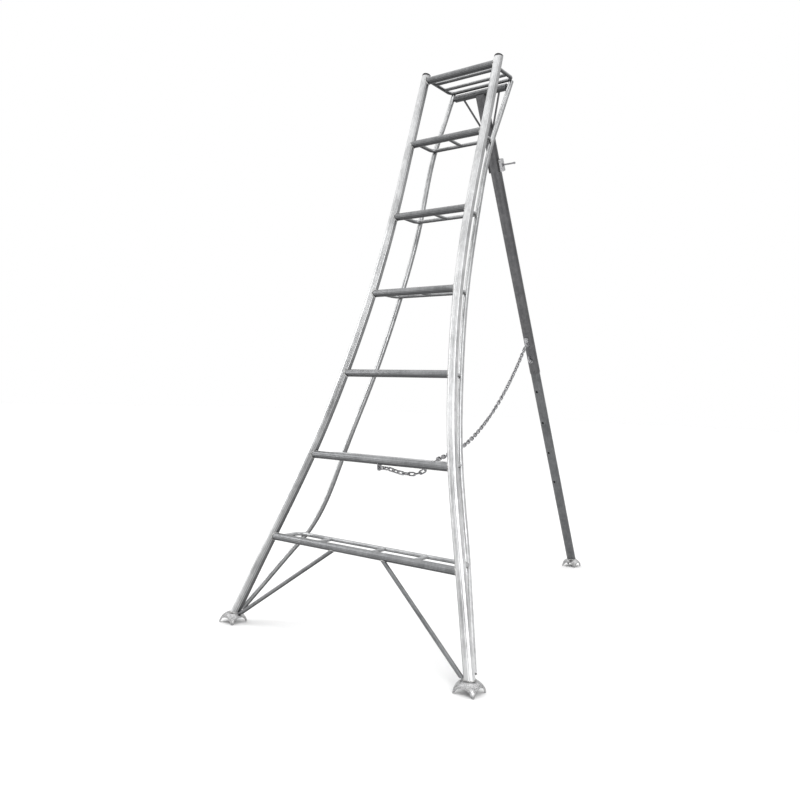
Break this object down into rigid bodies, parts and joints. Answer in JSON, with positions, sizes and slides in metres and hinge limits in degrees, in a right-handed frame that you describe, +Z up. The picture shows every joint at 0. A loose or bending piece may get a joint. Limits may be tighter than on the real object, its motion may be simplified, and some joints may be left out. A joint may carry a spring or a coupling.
{
  "type": "orchard tripod ladder",
  "caption": "Tubular tripod ladder with flared stiles, bar treads, a small top platform, a telescoping rear leg on a hinge, a spreader chain and clawed feet",
  "frame": {"origin": "on the ground under the middle of the three feet", "axes": "-Y is the climbing side, +Y is towards the rear leg, +Z is up, +X is to the right of someone who climbs it"},
  "size_m": [1.068, 1.879, 2.1208],
  "materials": {
    "ladder_tube": "brushed mill finish",
    "foot_casting": "dull zinc plate",
    "zinc_fitting": "bright zinc plate",
    "collar_plastic": "matte black"
  },
  "bodies": {
    "front_frame": {"stile_left": "ladder_tube", "stile_right": "ladder_tube", "rear_rail_left": "ladder_tube", "rear_rail_right": "ladder_tube", "rung_1": "ladder_tube", "rung_2": "ladder_tube", "rung_3": "ladder_tube", "rung_4": "ladder_tube", "rung_5": "ladder_tube", "rung_6": "ladder_tube", "tread_loop_1": "ladder_tube", "tread_loop_2": "ladder_tube", "tread_loop_3": "ladder_tube", "tread_loop_4": "ladder_tube", "tread_loop_5": "ladder_tube", "tread_loop_6": "ladder_tube", "tread_ties_1": "ladder_tube", "tread_ties_2": "ladder_tube", "tread_ties_3": "ladder_tube", "tread_ties_4": "ladder_tube", "tread_ties_5": "ladder_tube", "tread_ties_6": "ladder_tube", "platform_front_bar": "ladder_tube", "platform_loop": "ladder_tube", "platform_slat_1": "ladder_tube", "platform_slat_2": "ladder_tube", "hinge_bar": "ladder_tube", "foot_brace_left": "ladder_tube", "foot_brace_right": "ladder_tube", "foot_left": "foot_casting", "foot_right": "foot_casting", "chain_lug": "zinc_fitting", "chain": "zinc_fitting"},
    "rear_leg": {"hinge_sleeve": "ladder_tube", "leg_outer_tube": "ladder_tube", "head_brace_left": "ladder_tube", "head_brace_right": "ladder_tube", "leg_collar": "collar_plastic", "pull_pin_bracket": "zinc_fitting", "chain_anchor": "zinc_fitting", "chain_anchor_bolt": "zinc_fitting"},
    "leg_inner": {"leg_inner_tube": "ladder_tube", "foot_rear": "foot_casting"},
    "lock_pin": {"lock_pin": "zinc_fitting", "lock_pin_handle": "zinc_fitting"},
    "pull_pin": {"pull_pin": "zinc_fitting"}
  },
  "joints": [
    {"name": "rear_leg_hinge", "type": "hinge", "parent": "front_frame", "child": "rear_leg", "pos_m": [0, -0.1405, 2.062], "axis": [-1, 0, 0], "range_deg": [0, 42], "deforming": ["chain"]},
    {"name": "leg_slide", "type": "slide", "parent": "rear_leg", "child": "leg_inner", "axis": [0, 0.4574, -0.8893], "range_m": [-0.648, 0.324]},
    {"name": "lock_pin_slide", "type": "slide", "parent": "rear_leg", "child": "lock_pin", "axis": [0, -0.8893, -0.4574], "range_m": [0, 0.06]},
    {"name": "pull_pin_slide", "type": "slide", "parent": "rear_leg", "child": "pull_pin", "axis": [1, 0, 0], "range_m": [0, 0.01]}
  ]
}
